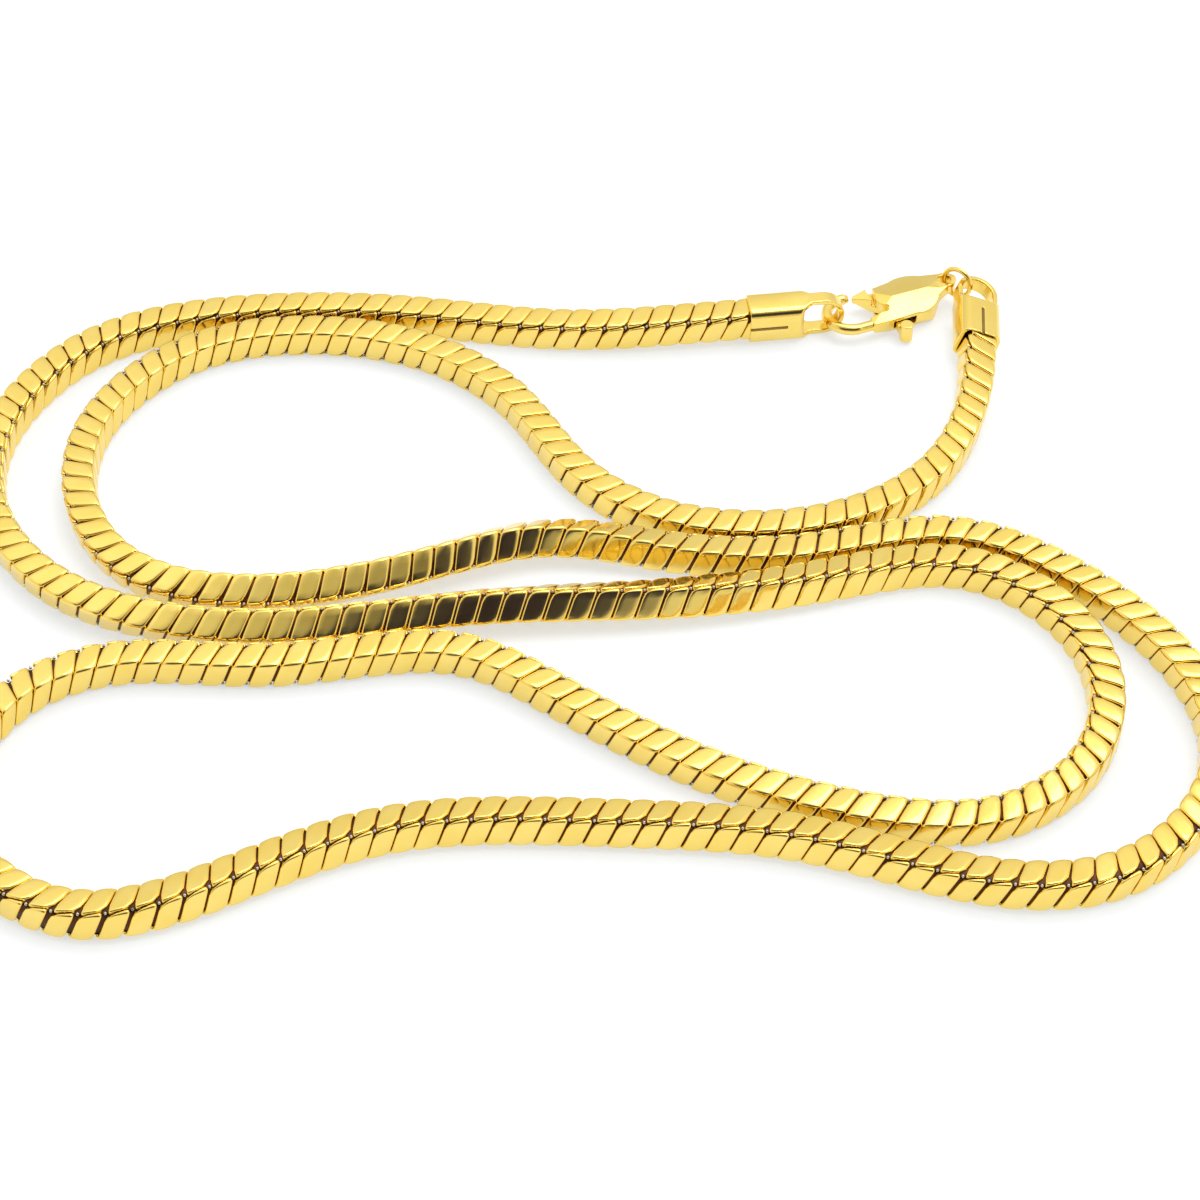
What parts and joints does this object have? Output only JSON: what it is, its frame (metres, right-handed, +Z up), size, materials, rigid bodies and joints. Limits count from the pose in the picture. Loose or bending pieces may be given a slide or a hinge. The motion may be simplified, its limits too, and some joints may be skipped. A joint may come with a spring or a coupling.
{
  "type": "snake chain necklace",
  "caption": "Square snake chain necklace laid in loose loops, with square end caps, a lobster clasp and a jump ring.",
  "frame": {"origin": "middle of the coil's outline on the floor it lies on", "axes": "+X along the coil's long side to the right, +Y away from the viewer, +Z up"},
  "size_m": [0.1126, 0.0797, 0.0044],
  "materials": {
    "chain": "polished yellow gold plate",
    "cap": "polished yellow gold plate",
    "clasp": "polished yellow gold plate",
    "lever": "polished yellow gold plate",
    "ring": "polished yellow gold plate"
  },
  "bodies": {
    "necklace": {"snake_chain_a": "chain", "snake_chain_b": "chain", "end_cap_a": "cap", "end_cap_b": "cap", "clasp_body": "clasp", "jump_ring": "ring"},
    "lever": {"clasp_lever": "lever"}
  },
  "joints": [
    {"name": "lever_hinge", "type": "hinge", "parent": "necklace", "child": "lever", "pos_m": [0.03126, 0.03599, 0.00115], "axis": [0, 0, 1], "range_deg": [0, 20], "stiffness_Nm_per_rad": 0.01, "springref_deg": -20.05}
  ]
}
